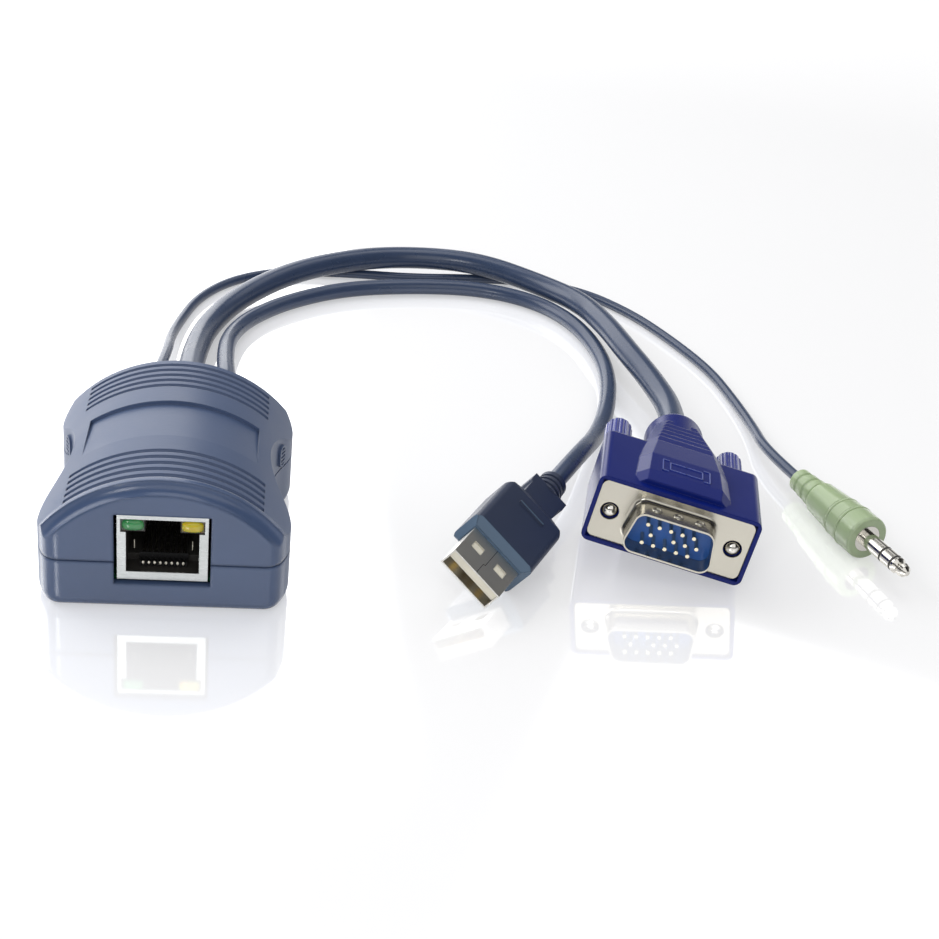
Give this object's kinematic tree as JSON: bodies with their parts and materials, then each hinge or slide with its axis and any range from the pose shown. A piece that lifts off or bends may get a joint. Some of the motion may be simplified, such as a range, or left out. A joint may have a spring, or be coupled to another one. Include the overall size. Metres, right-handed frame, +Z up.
{
  "type": "keyboard video mouse adapter",
  "caption": "Waisted two-cover adapter housing with a network jack in front and captive cables that end in a video plug, a data plug and an audio plug.",
  "frame": {"origin": "under the middle of the housing, on the surface it lies on", "axes": "+Y from the network jack toward the cable exits, along the longest side of the housing; +Z up, out of the arched roof"},
  "size_m": [0.1687, 0.1656, 0.0263],
  "materials": {
    "housing": "fine satin",
    "tin": "bright tin plate",
    "black_plastic": "moulded",
    "green_lens": "clear tinted",
    "yellow_lens": "clear tinted",
    "gold": "gold plate",
    "board": "solder mask",
    "steel": "zinc plate",
    "chip": "moulded epoxy",
    "nylon": "moulded",
    "gland": "satin",
    "jacket": "satin",
    "hood": "satin",
    "nickel": "nickel plate",
    "insert": "satin",
    "usb_plastic": "satin",
    "audio_plastic": "translucent"
  },
  "bodies": {
    "module": {"upper_cover": "housing", "lower_cover": "housing", "jack_shield": "tin", "jack_insulator": "black_plastic", "led_green": "green_lens", "led_yellow": "yellow_lens", "jack_contacts": "gold", "circuit_board": "board", "board_screws": "steel", "controller_chip": "chip", "video_driver_chips": "chip", "crystal": "tin", "capacitors": "black_plastic", "cable_headers": "nylon", "audio_gland": "gland", "vga_gland": "gland", "usb_gland": "gland", "vga_cable": "jacket", "usb_cable": "jacket", "audio_cable": "jacket", "vga_hood": "hood", "vga_faceplate": "nickel", "vga_insert": "insert", "vga_pins": "gold", "usb_shell": "nickel", "usb_tongue": "nylon", "usb_contacts": "gold", "usb_overmold": "usb_plastic", "audio_overmold": "audio_plastic", "audio_sleeve": "nickel", "audio_ring": "nickel", "audio_insulators": "black_plastic", "audio_tip": "nickel"},
    "left_thumbscrew": {"left_thumb_knob": "hood", "left_thumb_screw": "steel"},
    "right_thumbscrew": {"right_thumb_knob": "hood", "right_thumb_screw": "steel"}
  },
  "joints": [
    {"name": "left_thumbscrew_spin", "type": "hinge", "parent": "module", "child": "left_thumbscrew", "pos_m": [0.08951, 0.01677, 0.01159], "axis": [0.2218, 0.971, -0.0895], "continuous": true},
    {"name": "right_thumbscrew_spin", "type": "hinge", "parent": "module", "child": "right_thumbscrew", "pos_m": [0.11348, 0.01093, 0.0076], "axis": [0.2218, 0.971, -0.0895], "continuous": true}
  ]
}
